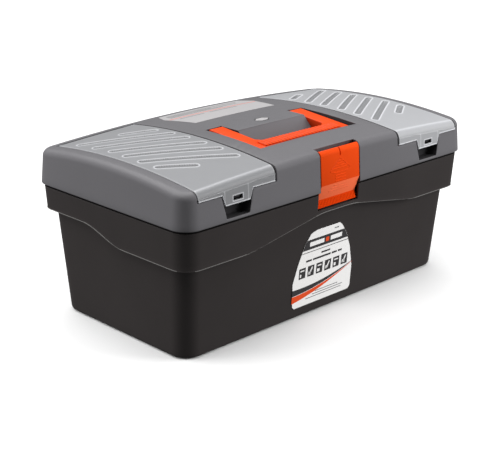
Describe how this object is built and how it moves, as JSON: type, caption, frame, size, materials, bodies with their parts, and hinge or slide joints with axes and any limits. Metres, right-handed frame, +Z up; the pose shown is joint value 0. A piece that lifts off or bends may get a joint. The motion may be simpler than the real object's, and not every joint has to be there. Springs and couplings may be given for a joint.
{
  "type": "carpenter toolbox",
  "caption": "Moulded plastic toolbox with a crowned lid on rear hinges, front latch, fold-down handle, clear-covered organizer wells and a lift-out tray.",
  "frame": {"origin": "centre of the footprint, on the surface that the box stands on", "axes": "+X along the box's length, to the right as seen from the front; +Z up; the latch side faces -Y"},
  "size_m": [0.43, 0.2425, 0.1915],
  "materials": {
    "tub": "black polypropylene, fine satin",
    "tray": "black polypropylene, satin",
    "lid": "grey polypropylene, fine satin",
    "divider": "grey polypropylene",
    "cover": "milky translucent polypropylene",
    "orange": "orange polypropylene, satin",
    "label": "printed film sticker",
    "pins": "plain steel rod"
  },
  "bodies": {
    "base": {"base_tub": "tub", "front_label": "label", "hinge_pin_left": "pins", "hinge_pin_right": "pins"},
    "tray": {"tool_tray": "tray", "tray_grip": "tray", "tray_divider_left_rear": "tray", "tray_divider_left_front": "tray", "tray_divider_right_rear": "tray", "tray_divider_right_front": "tray"},
    "lid": {"lid_shell": "lid", "top_label": "label", "latch_pin": "pins", "handle_pin_left": "pins", "handle_pin_right": "pins", "well_divider_left_long": "divider", "well_divider_left_cross": "divider", "well_divider_right_long": "divider", "well_divider_right_cross": "divider"},
    "handle": {"handle": "orange"},
    "latch": {"latch": "orange"},
    "cover_left": {"cover_left": "cover"},
    "cover_right": {"cover_right": "cover"}
  },
  "joints": [
    {"name": "lid_hinge", "type": "hinge", "parent": "base", "child": "lid", "pos_m": [0, 0.1215, 0.1399], "axis": [-1, 0, 0], "range_deg": [0, 100]},
    {"name": "tray_lift", "type": "slide", "parent": "base", "child": "tray", "axis": [0, 0, 1], "range_m": [0, 0.02]},
    {"name": "handle_pivot", "type": "hinge", "parent": "lid", "child": "handle", "pos_m": [0, 0.002, 0.1862], "axis": [-1, 0, 0], "range_deg": [0, 95]},
    {"name": "latch_pivot", "type": "hinge", "parent": "lid", "child": "latch", "pos_m": [0, -0.1109, 0.179], "axis": [-1, 0, 0], "range_deg": [0, 80]},
    {"name": "cover_left_hinge", "type": "hinge", "parent": "lid", "child": "cover_left", "pos_m": [-0.145, 0.0975, 0.17919], "axis": [-0.9986, 0, -0.053], "range_deg": [0, 105]},
    {"name": "cover_right_hinge", "type": "hinge", "parent": "lid", "child": "cover_right", "pos_m": [0.145, 0.0975, 0.17919], "axis": [-0.9986, 0, 0.053], "range_deg": [0, 105]}
  ]
}
